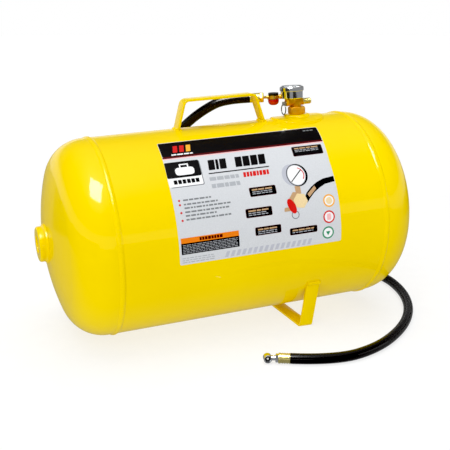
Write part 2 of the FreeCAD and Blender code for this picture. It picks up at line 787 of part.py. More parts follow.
# The hose's route in the finished frame: over the tank's back, down behind it, along the
# floor and round the valve end to the front.
floor_z = hose_radius
hose_route = [
    line_start(),
    V(23.0, 51.6, 278.8),
    V(0.5, 63.0, 266.0),
    V(-18.0, 83.0, 246.5),
    V(-35.0, 114.0, 216.0),
    V(-46.0, 138.0, 166.0),
    V(-46.0, 150.0, 112.0),
    V(-34.0, 164.0, 62.0),
    V(-4.0, 176.0, 24.0),
    V(42.0, 184.0, floor_z),
    V(102.0, 187.0, floor_z),
    V(160.0, 182.0, floor_z),
    V(214.0, 163.0, floor_z),
    V(257.0, 120.0, floor_z),
    V(280.0, 59.0, floor_z),
    V(269.0, -12.0, floor_z),
    V(238.0, -82.0, floor_z),
    V(190.0, -142.0, floor_z),
    V(126.0, -190.0, floor_z),
    V(62.0, -205.0, floor_z),
    V(16.0, -182.5, floor_z),
]


def hose():
    """A solid tube: straight runs joined by tangent arcs."""
    runs = [b - a for a, b in zip(hose_route, hose_route[1:])]
    ways = [V(run).normalize() for run in runs]
    edges = []
    previous = hose_route[0]
    length = 0.0
    tightest = 1e9
    for i in range(1, len(hose_route) - 1):
        turn = ways[i - 1].getAngle(ways[i])
        reach = 0.45 * min(runs[i - 1].Length, runs[i].Length)
        radius = reach / math.tan(turn / 2)
        start = hose_route[i] - ways[i - 1] * reach
        end = hose_route[i] + ways[i] * reach
        inward = (ways[i] - ways[i - 1]).normalize()
        depth = radius / math.cos(turn / 2) - radius
        edges.append(Part.makeLine(previous, start))
        edges.append(Part.Arc(start, hose_route[i] + inward * depth, end).toShape())
        length += (start - previous).Length + radius * turn
        tightest = min(tightest, radius)
        previous = end
    edges.append(Part.makeLine(previous, hose_route[-1]))
    length += (hose_route[-1] - previous).Length
    section = Part.Wire(Part.makeCircle(hose_radius, hose_route[0], ways[0]))
    tube_solid = Part.Wire(edges).makePipeShell([section], True, True)
    expected = math.pi * hose_radius ** 2 * length
    print(f"hose length {length:.1f} mm, tightest bend {tightest:.1f} mm, volume ratio "
          f"{tube_solid.Volume / expected:.4f}")
    return tube_solid


def at_end(shape):
    """Put a piece drawn along +X onto the hose's free end."""
    way = hose_route[-1] - hose_route[-2]
    moved = shape.copy()
    moved.rotate(V(0, 0, 0), Z_AXIS, math.degrees(math.atan2(way.y, way.x)))
    moved.translate(hose_route[-1])
    return moved


def chuck_ferrule():
    ferrule = crimped(ferrule_radius - 0.3, 0, chuck_ferrule_length)
    return ferrule.cut(cyl(barb_radius + 0.03, chuck_ferrule_length, 1.8, 0, 0, X_AXIS))


def mouth_way():
    angle = math.radians(chuck_mouth_turn)
    return V(math.cos(angle), math.sin(angle), 0)


def in_mouth(radius, start, end):
    """A cylinder along the mouth's axis, between two distances from the line of the hose."""
    base = mouth_way() * start
    return cyl(radius, end - start, chuck_head_u + base.x, base.y, 0, mouth_way())


def mouth_room():
    """The open mouth and the seat of the seal behind it."""
    mouth = in_mouth(chuck_mouth_radius, chuck_ledge, chuck_lip + 1)
    return mouth.fuse(in_mouth(chuck_seat_radius, chuck_seat, chuck_ledge + 0.1))


def chuck_stem():
    """Barb, small hexagon and the tube that carries the head."""
    solid = cyl(barb_radius, chuck_ferrule_length - 2.0, 2.0, 0, 0, X_AXIS)
    nut_end = chuck_ferrule_length + chuck_nut_length
    solid = solid.fuse(nut(9.0, chuck_nut_length, chuck_ferrule_length, 0, 0, X_AXIS, chamfer=0.6))
    solid = solid.fuse(cyl(chuck_tube_radius, chuck_tube_end - nut_end, nut_end, 0, 0, X_AXIS))
    return solid.cut(cyl(chuck_bore, 40, 0, 0, 0, X_AXIS)).cut(mouth_room())


def chuck_head():
    """The round head with its mouth to one side of the stem."""
    solid = turned(
        [
            (0, -5.0), (2.4, -5.0), (4.1, -4.1), (4.9, -2.6), (4.9, chuck_lip - 1), (4.4, chuck_lip),
            (0, chuck_lip),
        ],
        chuck_head_u, 0, 0, mouth_way(),
    )
    solid = solid.cut(mouth_room())
    solid = solid.cut(in_mouth(chuck_pin_radius + run_gap, -4.3, chuck_seat + 0.1))
    solid = solid.cut(cyl(chuck_tube_radius, chuck_tube_end, 0, 0, 0, X_AXIS))
    return solid.cut(cyl(chuck_bore, chuck_head_u - chuck_tube_end, chuck_tube_end, 0, 0, X_AXIS))


def chuck_seal():
    """The rubber ring that the tyre valve is pressed against, a little below the ledge."""
    hole = in_mouth(chuck_pin_radius + 0.6, chuck_seat, chuck_ledge)
    return in_mouth(chuck_seat_radius - 0.02, chuck_seat, chuck_ledge - 0.2).cut(hole)


def chuck_pin():
    return in_mouth(chuck_pin_radius, -2.6, chuck_ledge - 0.3)


def main():
    os.makedirs("parts", exist_ok=True)
    grip = handle()
    bracket = foot()
    tank_pieces = {
        "tank_shell": shell(),
        "left_head": left_head(),
        "right_head": head(1),
        "left_girth_weld": girth_bead(-seam_half),
        "right_girth_weld": girth_bead(seam_half),
        "shell_seam_weld": long_seam(),
        "end_boss": end_boss(),
        "end_boss_weld": end_boss_weld(),
        "end_plug": end_plug(),
        "port_pad": port_pad(),
        "pad_weld": pad_weld(),
        "port_boss": port_boss(),
        "port_weld": port_weld(),
        "handle": grip,
        "handle_welds": handle_welds(grip),
        "label": label(),
        "port_bushing": port_bushing(),
        "manifold_body": manifold(),
        "fill_valve_body": fill_valve_body(),
        "fill_valve_core": fill_core(),
        "fill_valve_pin": fill_pin(),
        "relief_valve_body": relief_body(),
        "relief_stem": relief_stem(),
        "relief_spring": relief_spring(),
        "gauge_case": gauge_case(),
        "gauge_stem": gauge_stem(),
        "bourdon_tube": bourdon_tube(),
        "gauge_movement": gauge_movement(),
        "gauge_dial": gauge_dial(),
        "gauge_needle": gauge_needle(),
        "gauge_lens": gauge_lens(),
        "gauge_bezel": gauge_bezel(),
    }
    line_pieces = {
        "shutoff_valve_body": valve_body(),
        "shutoff_valve_cap": valve_cap(),
        "shutoff_gland": valve_gland(),
        "shutoff_spindle": valve_spindle(),
        "spindle_seal": spindle_seal(),
        "shutoff_disc": valve_disc(),
        "shutoff_knob": valve_knob(),
        "knob_screw": knob_screw(),
        "hose_fitting": hose_fitting(),
        "hose_ferrule": hose_ferrule(),
    }
    end_pieces = {
        "chuck_ferrule": chuck_ferrule(),
        "chuck_stem": chuck_stem(),
        "chuck_head": chuck_head(),
        "chuck_seal": chuck_seal(),
        "chuck_pin": chuck_pin(),
    }
    for name, shape in tank_pieces.items():
        save(name, seat(shape))
    for name, shape in line_pieces.items():
        save(name, seat(on_line(shape)))
    for name, shape in end_pieces.items():
        save(name, at_end(shape))
    save("pull_ring", pull_ring())
    save("foot_bracket", bracket)
    save("foot_welds", foot_welds(bracket))
    save("air_hose", hose())


main()
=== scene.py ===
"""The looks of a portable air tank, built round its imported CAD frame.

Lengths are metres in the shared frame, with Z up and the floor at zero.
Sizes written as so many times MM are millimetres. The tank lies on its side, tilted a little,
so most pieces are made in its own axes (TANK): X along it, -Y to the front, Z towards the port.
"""

import json
import math
import random

import bmesh
import bpy
from mathutils import Matrix, Vector


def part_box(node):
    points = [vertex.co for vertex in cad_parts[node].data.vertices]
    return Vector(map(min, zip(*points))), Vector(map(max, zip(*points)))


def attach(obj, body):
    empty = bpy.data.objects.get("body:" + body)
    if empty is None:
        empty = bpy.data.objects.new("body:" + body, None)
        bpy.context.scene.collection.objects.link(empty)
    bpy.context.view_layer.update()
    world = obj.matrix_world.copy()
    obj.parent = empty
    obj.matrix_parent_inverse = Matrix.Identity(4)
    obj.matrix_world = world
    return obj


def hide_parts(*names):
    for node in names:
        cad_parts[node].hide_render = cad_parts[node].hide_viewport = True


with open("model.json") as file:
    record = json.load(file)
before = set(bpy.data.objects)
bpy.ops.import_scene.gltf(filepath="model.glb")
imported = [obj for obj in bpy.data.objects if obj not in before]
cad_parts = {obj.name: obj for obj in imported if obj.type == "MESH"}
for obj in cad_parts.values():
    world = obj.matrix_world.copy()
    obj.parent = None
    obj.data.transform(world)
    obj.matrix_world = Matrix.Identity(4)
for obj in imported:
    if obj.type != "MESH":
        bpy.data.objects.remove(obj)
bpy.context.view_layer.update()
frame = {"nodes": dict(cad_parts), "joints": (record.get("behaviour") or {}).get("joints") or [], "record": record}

MM = 0.001
Z_AXIS = Vector((0, 0, 1))


# ---------------------------------------------------------------- camera

SENSOR_WIDTH_MM = 36.0
FOCAL_LENGTH_MM = 70.1
CAMERA_PLACE = (-0.3846, -1.0323, 0.3972)
CAMERA_TIP = math.radians(76.0)
CAMERA_HEADING = math.radians(-20.66)


def make_camera():
    """A camera where the photographer stood."""
    data = bpy.data.cameras.new("camera")
    data.sensor_width = SENSOR_WIDTH_MM
    data.lens = FOCAL_LENGTH_MM
    data.clip_start = 0.05
    camera = bpy.data.objects.new("camera", data)
    camera.location = CAMERA_PLACE
    camera.rotation_euler = (CAMERA_TIP, 0.0, CAMERA_HEADING)
    bpy.context.scene.collection.objects.link(camera)
    bpy.context.scene.camera = camera


# ---------------------------------------------------------------- materials

def link_or_set(tree, socket, value):
    if isinstance(value, bpy.types.NodeSocket):
        tree.links.new(value, socket)
    else:
        socket.default_value = value


def add(tree, kind, inputs=None, **settings):
    """A node with its settings and inputs. An input is a value or another node's output."""
    node = tree.nodes.new(kind)
    for key, value in settings.items():
        setattr(node, key, value)
    for key, value in (inputs or {}).items():
        link_or_set(tree, node.inputs[key], value)
    return node


def places(tree, stretch=(1, 1, 1)):
    """Object coordinates, which are metres of the shared frame, stretched along each axis."""
    source = add(tree, "ShaderNodeTexCoord").outputs["Object"]
    return add(tree, "ShaderNodeMapping", {"Vector": source, "Scale": stretch}).outputs["Vector"]


def noise(tree, vector, scale, detail=3.0, roughness=0.5):
    inputs = {"Vector": vector, "Scale": scale, "Detail": detail, "Roughness": roughness}
    return add(tree, "ShaderNodeTexNoise", inputs).outputs["Fac"]


def spread(tree, value, low, high):
    """Map the part of a noise's range that it mostly keeps to, 0.3 to 0.7, onto low to high."""
    inputs = {"Value": value, "From Min": 0.3, "From Max": 0.7, "To Min": low, "To Max": high}
    return add(tree, "ShaderNodeMapRange", inputs).outputs["Result"]


def mixed(tree, factor, first, second):
    node = add(tree, "ShaderNodeMix", data_type="RGBA")
    link_or_set(tree, node.inputs["Factor"], factor)
    link_or_set(tree, node.inputs["A"], first)
    link_or_set(tree, node.inputs["B"], second)
    return node.outputs["Result"]


def bumped(tree, height, strength, distance, normal=None):
    inputs = {"Height": height, "Strength": strength, "Distance": distance}
    if normal is not None:
        inputs["Normal"] = normal
    return add(tree, "ShaderNodeBump", inputs).outputs["Normal"]


def colour(red, green, blue):
    """A linear colour with alpha, from the 0 to 255 values that a screen shows."""
    return tuple(
        ((c / 255 + 0.055) / 1.055) ** 2.4 if c > 10 else c / 255 / 12.92
        for c in (red, green, blue)
    ) + (1.0,)


def grey(level):
    return (level, level, level, 1.0)


def surface(name):
    """An empty material with a principled shader on its output: (material, tree, shader)."""
    material = bpy.data.materials.new(name)
    material.use_nodes = True
    tree = material.node_tree
    tree.nodes.clear()
    shader = add(tree, "ShaderNodeBsdfPrincipled")
    output = add(tree, "ShaderNodeOutputMaterial")
    tree.links.new(shader.outputs["BSDF"], output.inputs["Surface"])
    return material, tree, shader


def dress(tree, shader, inputs):
    for key, value in inputs.items():
        link_or_set(tree, shader.inputs[key], value)


def enamel(name, base, deep):
    """Thick sprayed enamel: a clear gloss over a base that varies a little, with orange peel."""
    material, tree, shader = surface(name)
    at = places(tree)
    tone = spread(tree, noise(tree, at, 7.0, 4.0), 0.0, 1.0)
    peel = noise(tree, at, 330.0, 1.0)
    waves = noise(tree, at, 45.0, 1.0)
    normal = bumped(tree, waves, 0.10, 0.0004)
    normal = bumped(tree, peel, 0.10, 0.00012, normal)
    dress(tree, shader, {
        "Base Color": mixed(tree, tone, base, deep),
        "Roughness": spread(tree, noise(tree, at, 90.0, 5.0), 0.30, 0.42),
        "Specular IOR Level": 0.05,
        "Coat Weight": 0.45,
        "Coat Roughness": spread(tree, noise(tree, at, 160.0, 4.0), 0.035, 0.075),
        "Normal": normal,
        "Coat Normal": normal,
    })
    return material


def metal(name, light, dark, roughness, grain=(1, 1, 1), bump=0.15, metallic=1.0):
    """Bare metal: colour and roughness vary in blotches, with a fine grain in the surface."""
    material, tree, shader = surface(name)
    tone = spread(tree, noise(tree, places(tree), 120.0, 5.0, 0.6), 0.0, 1.0)
    fine = noise(tree, places(tree, grain), 900.0, 2.0, 0.6)
    dress(tree, shader, {
        "Base Color": mixed(tree, tone, light, dark),
        "Metallic": metallic,
        "Roughness": spread(tree, tone, roughness * 0.8, roughness * 1.3),
        "Normal": bumped(tree, fine, bump, 0.00005),
    })
    return material


def plastic(name, base, shade, roughness, coat=0.0, scale=600.0, bump=0.12, specular=0.5):
    """Moulded plastic or rubber with a fine skin."""
    material, tree, shader = surface(name)
    at = places(tree)
    tone = spread(tree, noise(tree, at, 60.0, 4.0), 0.0, 1.0)
    skin = noise(tree, at, scale, 3.0)
    dress(tree, shader, {
        "Base Color": mixed(tree, tone, base, shade),
        "Roughness": spread(tree, skin, roughness * 0.8, roughness * 1.2),
        "Specular IOR Level": specular,
        "Coat Weight": coat,
        "Coat Roughness": 0.06,
        "Normal": bumped(tree, skin, bump, 0.00006),
    })
    return material


def print_ink(name, base):
    """Ink under a film. The film waves a little, and a faint screen breaks up the ink."""
    material, tree, shader = surface(name)
    at = places(tree)
    screen = noise(tree, at, 1500.0, 2.0)
    darker = tuple(c * 0.86 for c in base[:3]) + (1.0,)
    film = noise(tree, at, 55.0, 2.0)
    dress(tree, shader, {
        "Base Color": mixed(tree, spread(tree, screen, 0.0, 1.0), base, darker),
        "Roughness": spread(tree, screen, 0.42, 0.55),
        "Specular IOR Level": 0.12,
        "Coat Weight": 0.08,
        "Coat Roughness": 0.12,
        "Normal": bumped(tree, film, 0.08, 0.0003),
    })
    return material


def clear_lens(name):
    """Clear plastic, partly see-through so that lamps reach the dial behind it."""
    material, tree, shader = surface(name)
    haze = noise(tree, places(tree), 300.0, 3.0)
    dress(tree, shader, {
        "Base Color": (0.97, 0.985, 0.98, 1.0),
        "Roughness": spread(tree, haze, 0.0, 0.03),
        "IOR": 1.45,
        "Transmission Weight": 1.0,
        "Alpha": 0.35,
    })
    return material


def floor_material():
    """A light table: it glows almost white by itself, so shadows on it stay faint."""
    material, tree, shader = surface("floor_paper")
    grain = noise(tree, places(tree), 40.0, 4.0)
    dress(tree, shader, {
        "Base Color": mixed(tree, grain, grey(0.20), grey(0.23)),
        "Roughness": 0.9,
        "Emission Color": grey(1.0),
        "Emission Strength": 0.74,
    })
    return material


def backdrop_material():
    material = bpy.data.materials.new("backdrop")
    material.use_nodes = True
    tree = material.node_tree
    tree.nodes.clear()
    glow = add(tree, "ShaderNodeEmission")
    output = add(tree, "ShaderNodeOutputMaterial")
    tree.links.new(glow.outputs["Emission"], output.inputs["Surface"])
    return material


YELLOW = enamel("yellow_enamel", colour(243, 214, 2), colour(239, 207, 0))
BRASS = metal("brass", colour(242, 206, 112), colour(222, 174, 66), 0.26)
FORGED_BRASS = metal(
    "forged_brass", colour(240, 184, 58), colour(216, 150, 28), 0.36, bump=0.3, metallic=0.8)
PALE_BRASS = metal("pale_brass", colour(244, 234, 170), colour(230, 216, 138), 0.26)
CHROME = metal("chrome", colour(238, 240, 242), colour(226, 229, 232), 0.07, bump=0.04)
ZINC = metal("zinc_steel", colour(206, 204, 196), colour(176, 176, 170), 0.3, grain=(1, 8, 8))
DARK_STEEL = metal("dark_steel", colour(112, 116, 112), colour(70, 74, 72), 0.28)
BLACK = plastic("black_plastic", colour(22, 22, 23), colour(30, 30, 31), 0.38)
RED = plastic("red_plastic", colour(206, 10, 14), colour(176, 4, 10), 0.25, coat=0.6, bump=0.05)
SEAL = plastic("seal_rubber", colour(20, 20, 20), colour(28, 28, 28), 0.55)
PIN_PLASTIC = plastic("pin_plastic", colour(238, 238, 232), colour(226, 226, 220), 0.3)
HOSE = plastic(
    "hose_rubber", colour(10, 7, 7), colour(15, 12, 12), 0.26,
    coat=0.15, scale=420.0, bump=0.08, specular=0.25)
LENS = clear_lens("gauge_glass")
DIAL = print_ink("dial_white", colour(244, 243, 238))
DIAL_BLACK = print_ink("dial_black", colour(22, 22, 24))
DIAL_RED = print_ink("dial_red", colour(206, 32, 22))
POINTER = plastic("pointer_black", colour(24, 22, 24), colour(34, 30, 32), 0.3)

INK = {
    "paper": colour(213, 216, 220),
    "white": colour(246, 247, 248),
    "black": colour(8, 6, 8),
    "grey": colour(128, 132, 136),
    "light_grey": colour(176, 180, 186),
    "silver": colour(190, 193, 204),
    "red": colour(212, 34, 30),
    "dark_red": colour(84, 8, 12),
    "pink": colour(246, 190, 192),
    "orange": colour(240, 130, 30),
    "amber": colour(246, 176, 52),
    "tan": colour(196, 160, 120),
    "cream": colour(240, 216, 166),
    "green": colour(46, 146, 104),
}
INKS = {key: print_ink("ink_" + key, value) for key, value in INK.items()}


# ---------------------------------------------------------------- frame of the tank

def joint_named(name):
    return next(j for j in frame["joints"] if j["name"] == name)


# The pointer turns about the tank's own upright axis, so its joint tells how far the tank tilts.
upright = joint_named("gauge_pointer_turn")["axis"]
TILT = math.atan2(upright[0], -upright[2])
shell_low, shell_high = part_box("tank_shell")
TANK = Matrix.Translation((shell_low + shell_high) / 2) @ Matrix.Rotation(-TILT, 4, "Y")


def local_box(node, place):
    """(lowest, highest) corner of a CAD node in the frame of a placement."""
    inverse = place.inverted()
    points = [inverse @ vertex.co for vertex in frame["nodes"][node].data.vertices]
    low = Vector([min(p[i] for p in points) for i in range(3)])
    high = Vector([max(p[i] for p in points) for i in range(3)])
    return low, high


def joint_place(name):
    """The tank's axes, at the point of a hinge."""
    place = TANK.to_3x3().to_4x4()
    place.translation = Vector(joint_named(name)["pos_m"])
    return place


shell_end = local_box("tank_shell", TANK)[1]
RADIUS = shell_end.z
SEAM = shell_end.x


# ---------------------------------------------------------------- mesh building

def finish_piece(name, mesh, body, material, replaced=(), crease=35.0):
    """Turn a bmesh into a smooth piece that rides on a body. Edges past the crease stay sharp."""
    bmesh.ops.recalc_face_normals(mesh, faces=mesh.faces)
    data = bpy.data.meshes.new(name)
    mesh.to_mesh(data)
    mesh.free()
    data.materials.append(material)
    data.polygons.foreach_set("use_smooth", [True] * len(data.polygons))
    data.set_sharp_from_angle(angle=math.radians(crease))
    piece = bpy.data.objects.new(name, data)
    bpy.context.scene.collection.objects.link(piece)
    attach(piece, body)
    if replaced:
        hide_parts(*replaced)


def skin(mesh, rings, closed=False):
    """Quads between rings of points. Open rows of rings get end caps."""
    rows = [[mesh.verts.new(point) for point in ring] for ring in rings]
    count = len(rows[0])
    pairs = list(zip(rows, rows[1:]))
    if closed:
        pairs.append((rows[-1], rows[0]))
    for here, there in pairs:
        for i in range(count):
            j = (i + 1) % count
            mesh.faces.new((here[i], here[j], there[j], there[i]))
    if not closed:
        for row in (rows[0], rows[-1]):
            mesh.faces.new(row)


# ---------------------------------------------------------------- hose

HOSE_DIAMETER = 0.0125
FLOOR_LINE = HOSE_DIAMETER / 2
# From the ferrule at the shut-off valve, down behind the tank, round its right end to the chuck.
HOSE_ROUTE = [
    (0.05421, 0.04025, 0.28044),
    (0.0230, 0.0516, 0.2788),
    (0.0005, 0.0630, 0.2660),
    (-0.0180, 0.0830, 0.2465),
    (-0.0350, 0.1140, 0.2160),
    (-0.0460, 0.1380, 0.1660),
    (-0.0460, 0.1500, 0.1120),
    (-0.0340, 0.1640, 0.0620),
    (-0.0040, 0.1760, 0.0240),
    (0.0420, 0.1840, FLOOR_LINE),
    (0.1020, 0.1870, FLOOR_LINE),
    (0.1600, 0.1820, FLOOR_LINE),
    (0.2140, 0.1630, FLOOR_LINE),
    (0.2570, 0.1200, FLOOR_LINE),
    (0.2800, 0.0590, FLOOR_LINE),
    (0.2690, -0.0120, FLOOR_LINE),
    (0.2380, -0.0820, FLOOR_LINE),
    (0.1900, -0.1420, FLOOR_LINE),
    (0.1260, -0.1900, FLOOR_LINE),
    (0.0620, -0.2050, FLOOR_LINE),
    (0.0160, -0.1825, FLOOR_LINE),
]


def make_hose():
    """One rubber tube from the valve to the chuck."""
    curve = bpy.data.curves.new("air_hose_tube", "CURVE")
    curve.dimensions = "3D"
    spline = curve.splines.new("NURBS")
    spline.points.add(len(HOSE_ROUTE) - 1)
    for point, place in zip(spline.points, HOSE_ROUTE):
        point.co = (*place, 1.0)
    spline.order_u = 3
    spline.use_endpoint_u = True
    spline.resolution_u = 24
    curve.bevel_depth = HOSE_DIAMETER / 2
    curve.bevel_resolution = 10
    curve.use_fill_caps = True
    curve.materials.append(HOSE)
    hose = bpy.data.objects.new("air_hose_tube", curve)
    bpy.context.scene.collection.objects.link(hose)
    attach(hose, "tank")
    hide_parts("air_hose")


# ---------------------------------------------------------------- vessel

def paint_frame():
    """Give each CAD node that stays in view its material."""
    finishes = {
        "yellow_enamel": YELLOW, "brass": BRASS, "pale_brass": PALE_BRASS, "zinc_steel": ZINC,
        "dark_steel": DARK_STEEL, "chrome": CHROME, "gauge_face": DIAL, "pointer": POINTER,
        "gauge_glass": LENS, "black_plastic": BLACK, "red_plastic": RED, "seal_rubber": SEAL,
        "chuck_pin_plastic": PIN_PLASTIC, "hose_rubber": HOSE, "printed_label": INKS["paper"],
    }
    for entry in frame["record"]["subparts"]:
        node = frame["nodes"][entry["node"]]
        node.data.materials.clear()
        node.data.materials.append(finishes[entry["material_slot"]])
    for name in ("port_bushing", "manifold_body"):
        frame["nodes"][name].data.materials[0] = FORGED_BRASS


def shell_point(along, angle, radius):
    """A point of the tank, with the angle from the top towards the front."""
    return TANK @ Vector((along, -radius * math.sin(angle), radius * math.cos(angle)))


def girth_weld(name, along, node):
    """A low bead round the seam whose ripples follow the torch."""
    low, high = local_box(node, TANK)
    half = (high.x - low.x) / 2
    rise = high.z - RADIUS
    root = RADIUS - 0.8 * MM
    steps = 9
    ripples = 190
    per_ripple = 4
    mesh = bmesh.new()
    rings = []
    for k in range(ripples * per_ripple):
        angle = 2 * math.pi * k / (ripples * per_ripple)
        ring = []
        for i in range(steps + 1):
            across = -1 + 2 * i / steps
            lag = 0.7 * across ** 2
            wave = math.sin(2 * math.pi * (k / per_ripple - lag))
            height = rise * (1 - across ** 2) * (0.9 + 0.1 * wave)
            ring.append(shell_point(along + across * half, angle, RADIUS + height))
        ring.append(shell_point(along + half * 0.5, angle, root))
        ring.append(shell_point(along - half * 0.5, angle, root))
        rings.append(ring)
    skin(mesh, rings, True)
    finish_piece(name, mesh, "tank", YELLOW, (node,))


def bead(mesh, path, radius, pitch, closed=False):
    """A weld run: a round bead along a path, whose thickness swells at each ripple."""
    sides = 14
    end_share = 0.55
    rings = []
    travelled = 0.0
    for i, here in enumerate(path):
        before = path[i - 1] if i or closed else here
        after = path[(i + 1) % len(path)] if i + 1 < len(path) or closed else here
        way = (after - before).normalized()
        side = way.cross(Z_AXIS if abs(way.z) < 0.9 else Vector((1, 0, 0))).normalized()
        up = side.cross(way)
        if i:
            travelled += (here - path[i - 1]).length
        size = radius * (0.94 + 0.06 * math.cos(2 * math.pi * travelled / pitch))
        if not closed and i in (0, len(path) - 1):
            size *= end_share
        rings.append([
            here + (side * math.cos(a) + up * math.sin(a)) * size
            for a in (2 * math.pi * k / sides for k in range(sides))
        ])
    skin(mesh, rings, closed)


def line(start, end, count):
    """Points at even steps from start to end."""
    return [start.lerp(end, k / count) for k in range(count + 1)]


def handle_weld_beads():
    """A bead across the strap on each side of each leg of the handle."""
    low, high = local_box("handle_welds", TANK)
    strap_low, strap_high = local_box("handle", TANK)
    radius = 2.3 * MM
    inner = 3.6 * MM
    short = 0.8 * MM
    height = RADIUS - 0.3 * MM
    mesh = bmesh.new()
    for x in (low.x + radius, strap_low.x + inner, strap_high.x - inner, high.x - radius):
        start = Vector((x, strap_low.y + short, height))
        end = Vector((x, strap_high.y - short, height))
        bead(mesh, [TANK @ p for p in line(start, end, 60)], radius, 1.5 * MM)
    finish_piece("handle_weld_beads", mesh, "tank", YELLOW, ("handle_welds",))


def ring_bead(name, node, along, reach, height, radius):
    """A round weld on the top of the shell, which drops where the shell curves away."""
    path = []
    for k in range(360):
        angle = math.radians(k)
        x = reach * math.cos(angle)
        y = reach * math.sin(angle)
        path.append(TANK @ Vector((along + x, y, math.sqrt(height ** 2 - y ** 2))))
    mesh = bmesh.new()
    bead(mesh, path, radius, 2 * math.pi * reach / 60, True)
    finish_piece(name, mesh, "tank", YELLOW, (node,))


def port_weld_beads():
    """The weld round the port's boss and the weld round the pad under it."""
    boss_low, boss_high = local_box("port_boss", TANK)
    pad_low, pad_high = local_box("port_pad", TANK)
    along = (boss_low.x + boss_high.x) / 2
    boss_reach = (boss_high.x - boss_low.x) / 2 + 0.8 * MM
    pad_reach = (pad_high.x - pad_low.x) / 2 + 0.3 * MM
    ring_bead("port_weld_bead", "port_weld", along, boss_reach, pad_high.z, 2.2 * MM)
    ring_bead("pad_weld_bead", "pad_weld", along, pad_reach, RADIUS + 0.1 * MM, 1.5 * MM)


# ---------------------------------------------------------------- softened CAD shapes

SHARP_EDGE = math.radians(28)
FLAT_ENOUGH = math.radians(1)


def softened(node, material, width, steps=2):
    """A copy of a machined CAD piece of the tank, with its sharp edges rounded over."""
    mesh = bmesh.new()
    mesh.from_mesh(frame["nodes"][node].data)
    bmesh.ops.remove_doubles(mesh, verts=mesh.verts, dist=1e-6)
    bmesh.ops.dissolve_limit(
        mesh, angle_limit=FLAT_ENOUGH, verts=mesh.verts, edges=mesh.edges, delimit={"NORMAL"})
    sharp = [
        edge for edge in mesh.edges
        if len(edge.link_faces) == 2 and edge.calc_face_angle() > SHARP_EDGE
    ]
    bmesh.ops.bevel(
        mesh, geom=sharp, offset=width, segments=steps, profile=0.5,
        affect="EDGES", clamp_overlap=True)
    finish_piece(node + "_finished", mesh, "tank", material, (node,), 40.0)


def machined_pieces():
    softened("port_bushing", FORGED_BRASS, 0.5 * MM, 3)
    softened("shutoff_valve_cap", BLACK, 0.4 * MM)
    softened("hose_fitting", BRASS, 0.3 * MM)
    softened("relief_valve_body", BRASS, 0.25 * MM)
    softened("foot_bracket", YELLOW, 0.7 * MM, 3)
    softened("end_boss", YELLOW, 0.7 * MM, 3)
    softened("end_plug", YELLOW, 0.4 * MM)


# ---------------------------------------------------------------- valves and gauge

def spun(name, outline_at, place, body, material, replaced, segments=128):
    """A turned piece whose closed outline, (radius, height) in mm, may differ at each angle."""
    mesh = bmesh.new()
    rings = []
    for k in range(segments):
        angle = 2 * math.pi * k / segments
        turn = place @ Matrix.Rotation(angle, 4, "Z")
        rings.append([turn @ Vector((r * MM, 0, h * MM)) for r, h in outline_at(angle)])
    skin(mesh, rings, True)
    finish_piece(name, mesh, body, material, replaced)


def inlet_valve():
    """The tyre-type inlet, with its thread cut as a helix. Sizes in mm, from its flange."""
    spigot = 6.5
    pitch = 0.8
    crest = 3.85
    depth = 0.4
    thread_from = 2.5
    low, high = local_box("fill_valve_body", TANK)
    turn_to_x = Matrix.Rotation(math.radians(90), 4, "Y")
    flange = Matrix.Translation((low.x + spigot * MM, 0, (low.z + high.z) / 2))
    place = TANK @ flange @ turn_to_x

    def outline_at(angle):
        thread = []
        for k in range(83):
            h = thread_from + 0.1 * k
            wave = 0.5 + 0.5 * math.cos(2 * math.pi * h / pitch - angle)
            thread.append((crest - depth * wave, h))
        return [
            (1.3, -spigot), (3.4, -spigot), (3.4, -0.02), (4.35, 0.0), (4.6, 0.25), (4.6, 1.6),
            (4.4, 1.85), (crest, 2.35), *thread, (3.3, 11.3), (3.1, 11.5), (2.3, 11.5),
            (2.2, 11.4), (2.2, 2.6), (1.3, 2.6),
        ]

    spun("inlet_valve", outline_at, place, "tank", PALE_BRASS, ("fill_valve_body",))


def valve_knob():
    """The red domed knob, with shallow finger flutes round its skirt. Sizes in mm."""
    place = joint_place("shutoff_knob_turn")
    flutes = 14
    flute_depth = 0.45
    skirt = ((7.0, -2.7, 0.3), (7.2, -3.1, 1), (7.2, -3.9, 1), (7.2, -4.8, 1))
    screw_hole = 2.3
    dome_width = 4.9
    dome_from = -4.8
    dome_height = 5.8

    def outline_at(angle):
        flute = (0.5 + 0.5 * math.cos(flutes * angle)) ** 3
        points = [(1.5, -8.3), (5.0, -8.3), (5.0, -3.0), (5.4, -2.6), (6.7, -2.6)]
        for radius, height, share in skirt:
            points.append((radius - flute_depth * share * flute, height))
        for k in range(1, 19):
            t = math.radians(5 * k)
            radius = screw_hole + dome_width * math.cos(t)
            height = dome_from - dome_height * math.sin(t)
            points.append((radius - flute_depth * math.cos(t) ** 2 * flute, height))
        return points + [(screw_hole, -9.8), (1.0, -9.8), (1.0, -9.5), (1.5, -9.5)]

    spun("red_knob", outline_at, place, "valve_knob", RED, ("shutoff_knob",), 168)


def flat_print(name, outlines, place, low, high, material):
    """Thin solids with flat outlines, in the XY plane of a placement."""
    mesh = bmesh.new()
    for outline in outlines:
        mesh.faces.new([mesh.verts.new((p.x, p.y, low)) for p in outline])
    raised = bmesh.ops.extrude_face_region(mesh, geom=mesh.faces[:])["geom"]
    for vertex in (item for item in raised if isinstance(item, bmesh.types.BMVert)):
        vertex.co.z = high
    mesh.transform(place)
    finish_piece(name, mesh, "tank", material)


def scale_mark(angle, inner, outer, width):
    """A thin rectangle that points away from the dial's middle."""
    way = Vector((math.cos(angle), math.sin(angle)))
    side = Vector((-way.y, way.x)) * width * MM / 2
    near = way * inner * MM
    far = way * outer * MM
    return [near - side, far - side, far + side, near + side]


